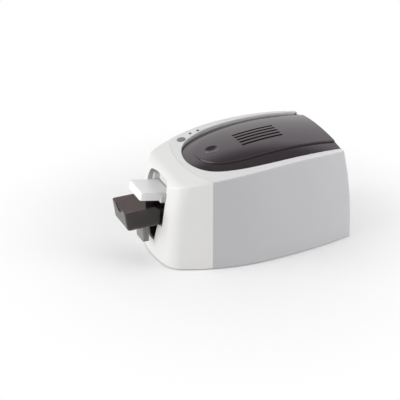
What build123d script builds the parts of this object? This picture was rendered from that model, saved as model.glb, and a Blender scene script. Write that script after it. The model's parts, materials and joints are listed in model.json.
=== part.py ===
from build123d import *
import os
from math import acos, asin, atan2, ceil, cos, degrees, hypot, pi, radians, sin, sqrt, tan

# Desktop card printer: barrel-shaped white housing, smoked lid hinged at the rear, card feeder and
# output tray at the nose.  Millimetres, +Z up, nose towards -Y, the origin on the table under the
# middle of the whole outline, tray included.

# ---------------------------------------------------------------- driving dimensions: housing
HALF_WIDTH = 107.0            # widest half width of the housing
WIDEST_Y = 25.5               # where along the housing that is
FLANK_RADIUS = 340.0          # plan radius from the widest place towards the nose
FLANK_TURN_FLOOR = 25.0       # degrees of that arc at the floor
BELLY_Z, FLANK_TURN_BELLY = 80.0, 24.4  # the nose is nearly upright below this height
FLANK_TURN_TOP = 19.8         # and leans back more and more above it
NOSE_CORNER_RADIUS = 40.0
NOSE_CORNER_TURN = 52.0
REAR_FLANK_RADIUS = 850.0
REAR_LIMIT_Y = 215.0          # the plan runs on past the rear face, which cuts it
LOFT_FLOOR, LOFT_TOP = -6.0, 200.0

APEX_Y, APEX_Z = 95.0, 183.2  # highest place of the rims
TOP_FRONT_RADIUS = 985.0
TOP_FRONT_TURN = 12.0
BROW_RADIUS = 30.0            # roll from the top into the nose
BROW_TURN = 66.9
TOP_REAR_RADIUS = 746.0
TOP_REAR_TURN = 12.0
REAR_FACE_RADIUS = 667.0
REAR_FLOOR_Y = 204.8          # rear face where it meets the floor
EDGE_ROLL = 4.5               # soft roll between flanks and top
REAR_CORNER_ROLL = 4.0
WALL = 2.5
SHELL_BOTTOM = 2.0
SEAM_GAP = 0.3
SEAM_SIDE_Y, SEAM_NOSE_Y, SEAM_HALF_WIDTH = -69.8, -89.2, 92.0

# ---------------------------------------------------------------- driving dimensions: lid
LID_HALF_WIDTH, LID_WIDEST_Y = 90.4, 62.0
LID_TURNS = ((400.0, 8.0), (147.0, 19.0), (62.0, 35.0))
LID_REAR_RADIUS = 930.0
PANEL_HALF_WIDTH, PANEL_WIDEST_Y = 60.0, 100.0
PANEL_TURNS = ((2300.0, 2.0), (150.0, 16.0), (55.0, 42.0))
BAND_APEX, BAND_ALONG, BAND_ACROSS = 191.8, 600.0, 309.0
PANEL_APEX, PANEL_ALONG, PANEL_ACROSS = 194.5, 585.0, 340.0
LID_GAP = 0.6
LID_SKIRT = 10.0              # how far the lid reaches below the rims
LID_REAR_SKIRT_Z = 158.0
VENT_COUNT, VENT_PITCH, VENT_WIDTH = 5, 10.0, 3.8
VENT_REBATE_WIDTH, VENT_REBATE_DEPTH = 5.0, 0.9
VENT_START_Y, VENT_END_Y = 18.5, 96.5
DIMPLE_Y, DIMPLE_RADIUS, DIMPLE_DEPTH = -30.0, 13.0, 3.2
HINGE_Y, HINGE_Z, HINGE_X = 178.8, 172.5, 62.0
HINGE_PIN_RADIUS, HINGE_LUG_RADIUS = 1.25, 2.7
HINGE_POST_HALF, HINGE_SIDE_GAP, HINGE_LUG_WIDTH = 3.0, 0.3, 3.0
HINGE_SWEEP = 16.7            # room that the rear skirt of the lid needs as it swings under the hinge
REAR_TAPER_SHIFT = 5.0        # the rear end of the lid's seat is eased by its own taper over this length
RUNNING_GAP = 0.06
MAGNET_Y, TAB_Z = -69.0, 157.2

# ---------------------------------------------------------------- driving dimensions: nose and cards
SILL_Z, LEDGE_Z, SHOULDER_Z = 34.0, 71.7, 150.0
SILL_HALF, SLOT_HALF, LEDGE_HALF, SHOULDER_HALF = 12.0, 24.0, 38.0, 43.0
NOTCH_END_Y, NOTCH_CORNER = -123.5, 28.0
CARD_LENGTH, CARD_WIDTH, CARD_THICKNESS, CARD_CORNER = 85.6, 54.0, 0.76, 3.18
CARD_COUNT = 20
FEED_PITCH = 11.3             # degrees that the feeder slopes down into the housing
FEED_Y, FEED_Z = -125.0, 114.7
STACK_OUTER = -51.5           # outer end of the stack, measured along the feeder from FEED_Y
FEEDER_OUTER, FEEDER_INNER = -14.0, 74.5
PATH_Z = 86.0                 # height of the card path

# ---------------------------------------------------------------- driving dimensions: mechanism
PLATE_INNER, PLATE_OUTER = 36.5, 38.0
AXLE_Z = 79.0
MODULE = 1.5
ROLLER_RADIUS, SHAFT_RADIUS = 6.6, 2.5
EXIT_Y, FEED_ROLLER_Y, PLATEN_Y, REAR_ROLLER_Y = -104.0, -20.0, 34.0, 80.5
SMALL_TEETH, FRONT_IDLER_TEETH, MIDDLE_IDLER_TEETH, REAR_IDLER_TEETH = 16, 40, 20, 15
PINION_TEETH, TAKE_UP_TEETH = 12, 20
FRONT_IDLER_Y, MIDDLE_IDLER_Y, REAR_IDLER_Y = -62.0, 7.0, 57.25
PICK_ANGLE = 32.2             # pick gear seen from the front idler, above the horizontal
GEAR_INNER_X, GEAR_WIDTH, GEAR_LAYER = 38.8, 3.8, 4.6
HEAD_PIVOT_Y, HEAD_PIVOT_Z = 66.0, 120.0
SUPPLY_Y, SUPPLY_Z, SUPPLY_ROLL = 88.0, 133.0, 17.0
TAKE_UP_Y, TAKE_UP_Z, TAKE_UP_ROLL = -8.0, 128.0, 11.0

os.makedirs("parts", exist_ok=True)


# ================================================================ helpers
def box(x0, x1, y0, y1, z0, z1):
    """Block between two corners."""
    return Pos((x0 + x1) / 2, (y0 + y1) / 2, (z0 + z1) / 2) * Box(x1 - x0, y1 - y0, z1 - z0)


def rod_x(y, z, radius, x0, x1):
    """Round bar along X."""
    return Pos((x0 + x1) / 2, y, z) * Rot(0, 90, 0) * Cylinder(radius, x1 - x0)


def rod_z(x, y, radius, z0, z1):
    """Round bar along Z."""
    return Pos(x, y, (z0 + z1) / 2) * Cylinder(radius, z1 - z0)


def side_plate(outline, x0, x1):
    """Plate from a (y, z) outline, between two x values."""
    face = make_face(Polyline(*outline, close=True))
    return Pos(x0, 0, 0) * extrude(Plane.YZ * face, amount=x1 - x0)


def arc_chain(start, heading, turns):
    """Tangent arcs in a row, each (radius, degrees to the left)."""
    arcs, point, direction = [], Vector(*start), Vector(*heading)
    for radius, turn in turns:
        arc = JernArc(point, direction, radius, turn)
        arcs.append(arc)
        point, direction = arc @ 1, arc % 1
    return arcs, point, direction


def barrel_outline(half_width, widest_y, turns, rear_radius):
    """Closed plan outline: arcs to the nose, one arc to the rear, mirrored about the middle."""
    arcs, end, heading = arc_chain((half_width, widest_y), (0, -1), [(r, -t) for r, t in turns])
    total = sum(t for _, t in turns)
    closing = JernArc(end, heading, end.X / cos(radians(total)), total - 90)
    rear_turn = degrees(asin((REAR_LIMIT_Y - widest_y) / rear_radius))
    rear = JernArc((half_width, widest_y), (0, 1), rear_radius, rear_turn)
    half = Curve() + arcs + [closing, rear, Line(rear @ 1, (0, REAR_LIMIT_Y))]
    return make_face(half + mirror(half, about=Plane.YZ))


def housing_plan(inset, flank_turn):
    """Plan of the housing, moved inwards by inset."""
    turns = ((FLANK_RADIUS - inset, flank_turn), (NOSE_CORNER_RADIUS - inset, NOSE_CORNER_TURN))
    return barrel_outline(HALF_WIDTH - inset, WIDEST_Y, turns, REAR_FLANK_RADIUS - inset)


def lid_plan(inset):
    """Plan of the lid, moved inwards by inset."""
    turns = tuple((radius - inset, turn) for radius, turn in LID_TURNS)
    return barrel_outline(LID_HALF_WIDTH - inset, LID_WIDEST_Y, turns, LID_REAR_RADIUS - inset)


def panel_plan(inset):
    """Plan of the raised middle panel of the lid."""
    turns = tuple((radius - inset, turn) for radius, turn in PANEL_TURNS)
    return barrel_outline(PANEL_HALF_WIDTH - inset, PANEL_WIDEST_Y, turns, 4000.0)


def side_profile(inset, floor=SHELL_BOTTOM):
    """Side view of the housing: rim arcs, brow, and the curved rear face."""
    apex = (APEX_Y, APEX_Z - inset)
    turns = ((TOP_FRONT_RADIUS - inset, TOP_FRONT_TURN), (BROW_RADIUS - inset, BROW_TURN))
    arcs, end, heading = arc_chain(apex, (-1, 0), turns)
    foot = (end.X + heading.X / -heading.Y * (end.Y - floor), floor)
    rear = JernArc(apex, (1, 0), TOP_REAR_RADIUS - inset, -TOP_REAR_TURN)
    heel = ((rear @ 1).X, floor)
    edges = Curve() + arcs + [Line(end, foot), rear, Line(rear @ 1, heel), Line(heel, foot)]
    return make_face(edges) & rear_disc(inset)


def rear_disc(inset):
    """Disc in the side view whose rim is the rear face."""
    return Pos(REAR_FLOOR_Y - REAR_FACE_RADIUS, 0) * Circle(REAR_FACE_RADIUS - inset)


def across(face, half=130.0):
    """A side-view face pulled out to both sides."""
    return extrude(Plane.YZ * face, amount=half, both=True)


def upright(face, z0, z1):
    """A plan face pulled up from z0 to z1."""
    return extrude(Pos(0, 0, z0) * face, amount=z1 - z0)


def housing_body(inset, floor=SHELL_BOTTOM):
    """Solid form of the housing with rolled edges; with an inset it is the space inside."""
    walls = loft(
        [
            Plane.XY.offset(LOFT_FLOOR) * housing_plan(inset, FLANK_TURN_FLOOR),
            Plane.XY.offset(BELLY_Z) * housing_plan(inset, FLANK_TURN_BELLY),
            Plane.XY.offset(LOFT_TOP) * housing_plan(inset, FLANK_TURN_TOP),
        ]
    )
    body = walls & across(side_profile(inset, floor))
    creases = [e for e in body.edges() if (e @ 0.5).Z > 140 and e.geom_type != GeomType.LINE]
    body = fillet(creases, EDGE_ROLL - inset)
    corners = [e for e in body.edges() if abs((e % 0.5).Z) > 0.9 and (e @ 0.5).Y > 150]
    return fillet(corners, REAR_CORNER_ROLL - inset)


def crown(apex, along, across_radius):
    """Block under a doubly curved crown, wide enough for the lid."""
    reach, base = 112.0, 120.0
    shoulder = apex - across_radius + sqrt(across_radius ** 2 - reach ** 2)
    top = ThreePointArc((-reach, shoulder), (0, apex), (reach, shoulder))
    sides = Polyline((reach, shoulder), (reach, base), (-reach, base), (-reach, shoulder))
    section = Pos(0, APEX_Y, 0) * (Plane.XZ * make_face(Curve() + [top, sides]))
    hub = Axis((0, APEX_Y, apex - along), (1, 0, 0))
    sweep = 50.0
    return revolve(section, hub, sweep).rotate(hub, -sweep / 2)


def feeder_plane():
    """Plane of the feeder floor: its y runs down into the housing, its z stands on the cards."""
    slope = radians(FEED_PITCH)
    return Plane(origin=(0, FEED_Y, FEED_Z), x_dir=(1, 0, 0), z_dir=(0, sin(slope), cos(slope)))


def gear_face(teeth, phase):
    """Gear outline with straight-chord involute flanks; phase is the angle of one tooth."""
    pitch_radius = MODULE * teeth / 2
    pressure, backlash, addendum, dedendum = radians(25), 0.34, 0.8, 1.1
    base_radius = pitch_radius * cos(pressure)
    involute = tan(pressure) - pressure
    radii = (pitch_radius - dedendum * MODULE, pitch_radius, pitch_radius + addendum * MODULE)
    flank = []
    for radius in radii:
        angle = acos(min(1.0, base_radius / radius))
        half = pi / (2 * teeth) - backlash / (4 * pitch_radius) + involute - (tan(angle) - angle)
        flank.append((radius, half))
    points = []
    for index in range(teeth):
        middle = phase + 2 * pi * index / teeth
        points += [(r * cos(middle - h), r * sin(middle - h)) for r, h in flank]
        points += [(r * cos(middle + h), r * sin(middle + h)) for r, h in reversed(flank)]
    return make_face(Polyline(*points, close=True))


def gear(teeth, phase, y, z, x0, x1, bore):
    """Spur gear between two x values, on an axle along X."""
    disc = Pos(x0, y, z) * extrude(Plane.YZ * gear_face(teeth, phase), amount=x1 - x0)
    return disc - rod_x(y, z, bore, x0 - 1, x1 + 1)


def meshing_phase(teeth_a, phase_a, centre_a, teeth_b, centre_b):
    """Phase of gear b that puts its gaps on the teeth of gear a."""
    line = atan2(centre_b[1] - centre_a[1], centre_b[0] - centre_a[0])
    pitch_a, pitch_b = 2 * pi / teeth_a, 2 * pi / teeth_b
    fraction = (line - phase_a) / pitch_a
    return line + pi - pitch_b * (0.5 - fraction)


def keep(name, *solids):
    """Write one node."""
    shape = solids[0] if len(solids) == 1 else Compound(children=list(solids))
    export_step(shape, f"parts/{name}.step")


# ================================================================ housing
OUTER = housing_body(0.0)
INNER = housing_body(WALL, floor=SHELL_BOTTOM - 4)
SHELL = OUTER - INNER


def seam_zone(gap):
    """Everything in front of the seam between bezel and casing, an arc in plan."""
    bulge = SEAM_SIDE_Y - SEAM_NOSE_Y
    radius = (SEAM_HALF_WIDTH ** 2 + bulge ** 2) / (2 * bulge)
    centre_y = SEAM_NOSE_Y + radius
    return box(-130, 130, -220, -45, -10, 220) - rod_z(0, centre_y, radius + gap, -20, 230)


def nose_funnel(outset):
    """Straight cut from the front: lower slot, ledge, and the mouth above it."""
    o = outset
    right = [
        (SILL_HALF + o, SILL_Z - o),
        (SLOT_HALF + o, LEDGE_Z - o),
        (LEDGE_HALF + o, LEDGE_Z - o),
        (SHOULDER_HALF + o, SHOULDER_Z),
        (SHOULDER_HALF + o, 190.0),
    ]
    outline = right + [(-x, z) for x, z in reversed(right)]
    return extrude(Plane.XZ * make_face(Polyline(*outline, close=True)), amount=200)


def brow_notch(outset):
    """Thumb notch that carries the mouth on over the brow, with rounded corners in plan."""
    half, end = SHOULDER_HALF + outset, NOTCH_END_Y + outset
    notch = Pos(0, end - 60, 0) * Rectangle(2 * half, 120)
    rounded = fillet([v for v in notch.vertices() if v.Y > end - 1], NOTCH_CORNER + outset)
    return upright(rounded, SHOULDER_Z - 3, 200)


def front_bezel():
    """Nose shell with the mouth, its jambs and the lip of the notch."""
    shell = SHELL & seam_zone(SEAM_GAP / 2)
    jambs = (nose_funnel(2.0) - nose_funnel(0.0)) & INNER & box(-60, 60, -150, -125, SILL_Z - 2, 172)
    lip = (brow_notch(2.0) - brow_notch(0.0)) & INNER & box(-60, 60, -150, -110, SHOULDER_Z - 3, 172)
    mouth = nose_funnel(0.0) & box(-60, 60, -200, -100, 0, SHOULDER_Z)
    notch = brow_notch(0.0) & box(-60, 60, -200, -100, SHOULDER_Z, 200)
    return ((shell + jambs + lip) - mouth) - notch


def lid_zone(outset, z0, z1, rear_y):
    """Upright block with the plan of the lid, cut off at rear_y."""
    return upright(lid_plan(-outset), z0, z1) & box(-130, 130, -120, rear_y, z0 - 1, z1 + 1)


BUTTON_X, BUTTON_Y, BUTTON_RADIUS = -75.0, -55.0, 7.6
LAMPS = ((-86.0, -33.0), (-88.0, -17.0))
LAMP_RADIUS = 2.5
BUTTON_FLANGE_Z = 167.5
PANEL_BOARD_Z = 155.0
BOSSES = ((99.5, 60.0), (94.0, -40.0), (91.0, 150.0))
BULKHEAD_Y, SHELF_Z = 136.0, 140.0


def main_casing():
    """Flanks, rims and control strip in one moulding, with the collar that the lid sits in."""
    casing = SHELL - seam_zone(-SEAM_GAP / 2)
    collar = lid_zone(LID_GAP + 2.0, 130, 195, 176) & OUTER
    collar -= across(side_profile(LID_SKIRT + 2.8, 0))
    collar -= lid_zone(-4.0, 120, 200, 140)
    collar -= lid_zone(LID_GAP, 120, 200, 230) - across(side_profile(LID_SKIRT + 0.4, 0))
    collar -= box(-82, 82, 138, 230, 100, 200)
    bulkhead = box(-110, 110, BULKHEAD_Y, BULKHEAD_Y + WALL, 60, 158) & INNER
    shelf = box(-110, 110, BULKHEAD_Y, 199, SHELF_Z, SHELF_Z + WALL) & INNER
    bosses = Part()
    for x, y in BOSSES:
        for side in (-1, 1):
            bosses += rod_z(side * x, y, 4.5, 4.8, 30) - rod_z(side * x, y, 1.5, 0, 26)
    posts = rod_z(-80, -46.5, 2.2, PANEL_BOARD_Z + 1.6, 175)
    posts += rod_z(-79, -22, 2.2, PANEL_BOARD_Z + 1.6, 177)
    body = casing + (collar + bulkhead + shelf) + (bosses & INNER) + (posts & INNER)
    body -= lid_zone(LID_GAP, 150, 200, 177)
    body -= lid_zone(LID_GAP, LID_REAR_SKIRT_Z - LID_GAP, 200, 230) & box(-120, 120, 150, 230, 100, 200)
    body += collar + box(-11, 11, -79, MAGNET_Y + 5, TAB_Z - 3, TAB_Z)
    eased = Pos(0, REAR_TAPER_SHIFT, 0) * lid_zone(LID_GAP, 165, 200, 215)
    body -= eased & box(-120, 120, 100, 230, 160, 210)
    body -= rod_x(HINGE_Y, HINGE_Z, HINGE_SWEEP, -95, 95) & lid_zone(LID_GAP, 120, 200, 230)
    body -= rear_window(0.3)
    body -= rod_z(BUTTON_X, BUTTON_Y, BUTTON_RADIUS + 0.3, 160, 190)
    body -= rod_z(BUTTON_X, BUTTON_Y, BUTTON_RADIUS + 1.4, 156, BUTTON_FLANGE_Z + 0.1)
    for x, y in LAMPS:
        body -= rod_z(x, y, LAMP_RADIUS, 150, 190)
    return body


def rear_window(gap):
    """Opening in the rear face that the rear panel fills."""
    return box(-80 - gap, 80 + gap, 185, 215, 6 - gap, 156)


def rear_panel():
    """Curved rear panel with air slots and holes for the sockets."""
    panel = SHELL & box(-80, 80, 187, 215, 6, 155.7)
    for index in range(9):
        x = -52 + 13 * index
        panel -= box(x - 1.8, x + 1.8, 180, 215, 84, 124)
    panel -= box(23.6, 36.4, 180, 215, 21.4, 33.0)
    panel -= box(47.6, 57.4, 180, 215, 21.4, 33.0)
    panel -= box(-63.5, -56.5, 180, 215, 22, 25)
    return panel


def base_pan():
    """Bottom plate with stiffening ribs, board pillars and screw holes."""
    pan = housing_body(WALL + 0.3, floor=SHELL_BOTTOM) & box(-120, 120, -160, 220, SHELL_BOTTOM, 4.5)
    for y in (-118, -20, 116):
        rib = box(-62, 62, y - 1, y + 1, 4.5, 9.5)
        pan += rib - box(-PLATE_OUTER - 12, PLATE_OUTER + 12, -112.5, 112.5, 4, 12)
    for x in (-56, 56):
        for y in (131, 185):
            pan += rod_z(x, y, 3.0, 4.5, 20) - rod_z(x, y, 1.2, 12, 21)
    for x, y in BOSSES:
        for side in (-1, 1):
            pan -= rod_z(side * x, y, 1.6, 0, 6) + rod_z(side * x, y, 3.3, 0, 3.4)
    for index in range(7):
        pan -= box(-31.8 + 10 * index, -28.2 + 10 * index, 136, 176, 0, 6)
    return pan


FEET = ((76.0, -66.0), (76.0, 172.0))


def rubber_feet():
    """Four round feet."""
    feet = []
    for x, y in FEET:
        for side in (-1, 1):
            foot = rod_z(side * x, y, 8.0, 0, SHELL_BOTTOM)
            feet.append(chamfer([e for e in foot.edges() if (e @ 0.5).Z < 0.5], 0.6))
    return feet


def casing_screws():
    """Six pan-head screws that hold the casing on the base pan."""
    screws = []
    for x, y in BOSSES:
        for side in (-1, 1):
            head = rod_z(side * x, y, 3.0, 2.0, 3.4)
            head -= box(side * x - 1.8, side * x + 1.8, y - 0.4, y + 0.4, 1, 2.6)
            screws.append(head + rod_z(side * x, y, 1.5, 3.4, 16))
    return screws


# ================================================================ lid
def lid_form(inset):
    """Lid as a solid: a low crown all over, with the raised middle panel on it."""
    rear = across(rear_disc(inset) & Pos(0, 100) * Rectangle(500, 240))
    plan_rear = box(-130, 130, -120, 205, 100, 230) & rear
    band_crown = crown(BAND_APEX - inset, BAND_ALONG - inset, BAND_ACROSS - inset)
    panel_crown = crown(PANEL_APEX - inset, PANEL_ALONG - inset, PANEL_ACROSS - inset)
    band = upright(lid_plan(inset), 120, 215) & band_crown
    panel = upright(panel_plan(inset), 125, 215) & panel_crown
    return (band + panel) & plan_rear


def top_cover():
    """Smoked lid with its vent slots, finger dimple and hinge lugs."""
    outer = lid_form(0.0)
    ridge = [e for e in outer.edges() if (e @ 0.5).Z > 168 and abs((e @ 0.5).X) < PANEL_HALF_WIDTH + 1
             and (e @ 0.5).Y < 178 and e.geom_type != GeomType.LINE and on_panel_edge(e)]
    outer = fillet(ridge, 1.2) if ridge else outer
    lid = outer - lid_form(WALL)
    lid -= across(side_profile(LID_SKIRT, 100))
    lid -= box(-130, 130, 150, 230, 90, LID_REAR_SKIRT_Z)
    surface = PANEL_APEX - PANEL_ALONG + sqrt(PANEL_ALONG ** 2 - (DIMPLE_Y - APEX_Y) ** 2)
    ball = (DIMPLE_RADIUS ** 2 + DIMPLE_DEPTH ** 2) / (2 * DIMPLE_DEPTH)
    tilt = degrees(asin((APEX_Y - DIMPLE_Y) / PANEL_ALONG))
    place = Pos(0, DIMPLE_Y, surface) * Rot(tilt, 0, 0)
    lid += place * Pos(0, 0, -4.6) * Cylinder(DIMPLE_RADIUS + 1.5, 5.0)
    lid -= place * Pos(0, 0, ball - DIMPLE_DEPTH) * Sphere(ball)
    for index in range(VENT_COUNT):
        x = (index - (VENT_COUNT - 1) / 2) * VENT_PITCH
        middle, length = (VENT_START_Y + VENT_END_Y) / 2, VENT_END_Y - VENT_START_Y
        slot = Pos(x, middle) * SlotOverall(length, VENT_WIDTH, rotation=90)
        rebate = Pos(x, middle) * SlotOverall(length + 1.2, VENT_REBATE_WIDTH, rotation=90)
        lid -= upright(slot, 170, 220)
        lid -= upright(rebate, 170, 220) - lid_form(VENT_REBATE_DEPTH)
    lid += box(-8, 8, MAGNET_Y - 3, MAGNET_Y + 3, TAB_Z + 3.7, 176) & lid_form(1.0)
    notch_half = HINGE_POST_HALF + HINGE_SIDE_GAP
    for side in (-1, 1):
        centre = side * HINGE_X
        lid -= box(centre - notch_half, centre + notch_half, 172, 205, LID_REAR_SKIRT_Z - 1, HINGE_Z + 3.8)
        for offset in (-notch_half - HINGE_LUG_WIDTH, notch_half):
            x0, x1 = centre + offset, centre + offset + HINGE_LUG_WIDTH
            lug = rod_x(HINGE_Y, HINGE_Z, HINGE_LUG_RADIUS, x0, x1)
            web = box(x0, x1, HINGE_Y - HINGE_LUG_RADIUS, HINGE_Y + 1, HINGE_Z, HINGE_Z + 8)
            lid += (lug + web) & lid_form(0.6)
        lid -= rod_x(HINGE_Y, HINGE_Z, HINGE_PIN_RADIUS + RUNNING_GAP, centre - 9, centre + 9)
    return lid


def on_panel_edge(edge):
    """True for edges that run along the outline of the raised panel, at its top."""
    point = edge @ 0.5
    top = PANEL_APEX - PANEL_ALONG + sqrt(PANEL_ALONG ** 2 - (point.Y - APEX_Y) ** 2)
    drop = PANEL_ACROSS - sqrt(PANEL_ACROSS ** 2 - point.X ** 2)
    return abs(point.Z - (top - drop)) < 0.6 and (abs(point.X) > 4 or point.Y < -50)


def lid_magnet():
    """Small magnet in the rib under the tip of the lid."""
    return box(-7, 7, MAGNET_Y - 2.5, MAGNET_Y + 2.5, TAB_Z + 1.0, TAB_Z + 3.7)


def magnet_plate():
    """Steel plate on the collar tab that the magnet closes on."""
    return box(-9, 9, MAGNET_Y - 3.5, MAGNET_Y + 3.5, TAB_Z, TAB_Z + 0.8)


def hinge_brackets():
    """Two posts on the rear shelf, each with a knuckle that holds a hinge pin."""
    brackets = []
    foot = SHELF_Z + WALL
    outline = (
        (HINGE_Y - 2.6, HINGE_Z + 0.6),
        (HINGE_Y + 2.2, HINGE_Z - 1.5),
        (HINGE_Y + 2.2, foot),
        (HINGE_Y - 18, foot),
        (HINGE_Y - 18, foot + 4),
        (HINGE_Y - 6, HINGE_Z - 12),
    )
    for side in (-1, 1):
        x0, x1 = side * HINGE_X - HINGE_POST_HALF, side * HINGE_X + HINGE_POST_HALF
        post = side_plate(outline, x0, x1) + rod_x(HINGE_Y, HINGE_Z, HINGE_LUG_RADIUS, x0, x1)
        plate = box(x0 - 7, x1 + 7, HINGE_Y - 24, HINGE_Y + 2.2, foot, foot + 2)
        for x in (x0 - 3.5, x1 + 3.5):
            plate -= rod_z(x, HINGE_Y - 11, 1.6, foot - 1, foot + 3)
        brackets.append((post + plate) - rod_x(HINGE_Y, HINGE_Z, HINGE_PIN_RADIUS, x0 - 9, x1 + 9))
    return brackets


def hinge_pins():
    """One steel pin per bracket."""
    reach = HINGE_POST_HALF + HINGE_SIDE_GAP + HINGE_LUG_WIDTH
    return [rod_x(HINGE_Y, HINGE_Z, HINGE_PIN_RADIUS, side * HINGE_X - reach, side * HINGE_X + reach)
            for side in (-1, 1)]


# ================================================================ control strip
def control_button():
    """Round push button with a retaining flange under the strip and a stem down to the dome."""
    drop = sqrt(TOP_FRONT_RADIUS ** 2 - (BUTTON_Y - APEX_Y) ** 2)
    slope = degrees(asin((APEX_Y - BUTTON_Y) / TOP_FRONT_RADIUS))
    top = APEX_Z - TOP_FRONT_RADIUS + drop + 1.0
    above = Pos(BUTTON_X, BUTTON_Y, top) * Rot(slope, 0, 0) * Pos(0, 0, 10) * Box(40, 40, 20)
    cap = rod_z(BUTTON_X, BUTTON_Y, BUTTON_RADIUS, 165, 185) - above
    cap = fillet([e for e in cap.edges() if (e @ 0.5).Z > 168 and e.geom_type != GeomType.LINE], 0.7)
    flange = rod_z(BUTTON_X, BUTTON_Y, BUTTON_RADIUS + 0.9, BUTTON_FLANGE_Z - 1.8, BUTTON_FLANGE_Z)
    stem = rod_z(BUTTON_X, BUTTON_Y, 3.4, PANEL_BOARD_Z + 6.1, 166)
    return cap + flange + stem


def status_lamps():
    """Two light pipes, a touch proud of the strip."""
    proud = across(side_profile(-0.3, 100))
    return [rod_z(x, y, LAMP_RADIUS, PANEL_BOARD_Z + 1.6, 182) & proud for x, y in LAMPS]


def panel_board():
    """Small board under the strip."""
    return box(-88.5, -68, -64, -12, PANEL_BOARD_Z, PANEL_BOARD_Z + 1.6)


def button_dome():
    """Rubber dome that returns the button."""
    base = Pos(BUTTON_X, BUTTON_Y, PANEL_BOARD_Z + 1.6)
    return base * (Pos(0, 0, 2.2) * Cone(5.5, 3.6, 4.4) - Pos(0, 0, 1.7) * Cone(4.6, 2.9, 3.4))


# ================================================================ cards, feeder and tray
def card_stack():
    """Blank cards, one on another, sloping down into the feeder."""
    plane = feeder_plane()
    blank = fillet(Rectangle(CARD_WIDTH, CARD_LENGTH).vertices(), CARD_CORNER)
    middle = STACK_OUTER + CARD_LENGTH / 2
    cards = []
    for index in range(CARD_COUNT):
        sheet = extrude(Pos(0, middle, 0.1 + index * CARD_THICKNESS) * blank, amount=CARD_THICKNESS)
        cards.append(plane * sheet)
    return cards


def pick_centre():
    """Axle of the pick roller, one centre distance from the front idler."""
    distance = MODULE * (FRONT_IDLER_TEETH + PINION_TEETH) / 2
    angle = radians(PICK_ANGLE)
    return FRONT_IDLER_Y - distance * cos(angle), AXLE_Z + distance * sin(angle)


LEVER_PIVOT_U, LEVER_PIVOT_W = 60.0, 22.0


def card_feeder():
    """Sloping trough for the cards, with a hood over its inner half."""
    floor = box(-30, 30, FEEDER_OUTER, FEEDER_INNER, -2.6, -0.1)
    walls = box(-30, -27.5, FEEDER_OUTER, FEEDER_INNER, -2.6, 28)
    walls += box(27.5, 30, FEEDER_OUTER, FEEDER_INNER, -2.6, 28)
    stop = box(-30, 30, FEEDER_INNER - 2.5, FEEDER_INNER, 1.2, 28)
    hood = box(-30, 30, 4, FEEDER_INNER, 25.5, 28) + box(-30, 30, 4, 6.5, 17.5, 28)
    trough = floor + walls + stop + hood
    trough -= box(-31, 31, FEEDER_OUTER - 1, -6, 9, 40)
    trough -= box(-7, 7, 14, FEEDER_INNER - 2.5, 24, 30)
    cheeks = box(-9.5, -7, 54, 66, 16.5, 28) + box(7, 9.5, 54, 66, 16.5, 28)
    trough += cheeks
    trough -= rod_x(LEVER_PIVOT_U, LEVER_PIVOT_W, 1.5, -12, 12)
    placed = feeder_plane() * trough
    y, z = pick_centre()
    placed -= rod_x(y, z, 9.4, -12, 12)
    for side in (-1, 1):
        x0, x1 = sorted((side * 30, side * PLATE_INNER))
        for y0 in (-98, -66):
            placed += box(x0, x1, y0, y0 + 8, 106, 116)
    return placed - across_pocket()


def across_pocket():
    """Room under the feeder floor for the pick shaft."""
    y, z = pick_centre()
    return rod_x(y, z, SHAFT_RADIUS + 0.8, -36.5, 36.5)


def press_lever():
    """Lever with a nose that lies on the cards."""
    arm = box(-5, 5, 22, 62, 18.5, 21.5) + rod_x(LEVER_PIVOT_U, LEVER_PIVOT_W, 3.4, -6.5, 6.5)
    nose = rod_x(22, 19.6, 4.1, -5, 5)
    lever = (arm + nose) - rod_x(LEVER_PIVOT_U, LEVER_PIVOT_W, 1.5 + RUNNING_GAP, -12, 12)
    return feeder_plane() * lever


TRAY_HALF, TRAY_FLOOR, TRAY_TOP, TRAY_INNER_Y = 32.0, 72.0, 108.0, -112.5
TRAY_OUTER_Y = -REAR_FLOOR_Y
TRAY_WALL = 2.0
TRAY_LEAN = 5.0


def tray_form(inset, top, inner_y):
    """Trough outline with a leaning end wall and rolled lower edges."""
    lean = TRAY_LEAN / (TRAY_TOP - TRAY_FLOOR)
    outline = (
        (inner_y, TRAY_FLOOR + inset),
        (TRAY_OUTER_Y + TRAY_LEAN + inset, TRAY_FLOOR + inset),
        (TRAY_OUTER_Y + inset - lean * (top - TRAY_TOP), top),
        (inner_y, top),
    )
    half = TRAY_HALF - inset
    form = side_plate(outline, -half, half)
    low = [e for e in form.edges() if (e @ 0.5).Z < TRAY_TOP - 1 and (e @ 0.5).Y < inner_y - 1]
    return fillet(low, 5.0 - inset)


def output_tray():
    """Smoked tray with a finger notch in its end wall and a stop lip inside."""
    tray = tray_form(0, TRAY_TOP, TRAY_INNER_Y) - tray_form(TRAY_WALL, TRAY_TOP + 2, TRAY_INNER_Y + 5)
    notch = Pos(0, TRAY_OUTER_Y + 4, TRAY_TOP + 4) * Rot(90, 0, 0) * Cylinder(15, 20)
    tray -= notch
    tray -= box(-40, 40, -146, -100, 104, 112)
    return tray


def tray_carrier():
    """Light carrier under the tray: a hollow leg outside and a runner that enters the lower slot."""
    leg = box(-16, 16, -167, -156, 37, TRAY_FLOOR) - box(-13.5, 13.5, -164.5, -155, 34, TRAY_FLOOR - 2.5)
    leg = fillet([e for e in leg.edges() if abs((e % 0.5).Z) > 0.9 and (e @ 0.5).Y < -166], 2.0)
    runner = box(-11, 11, -160, -122, TRAY_FLOOR - 8, TRAY_FLOOR) - box(-9, 9, -156, -121, 60, TRAY_FLOOR - 2)
    return leg + runner


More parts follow.
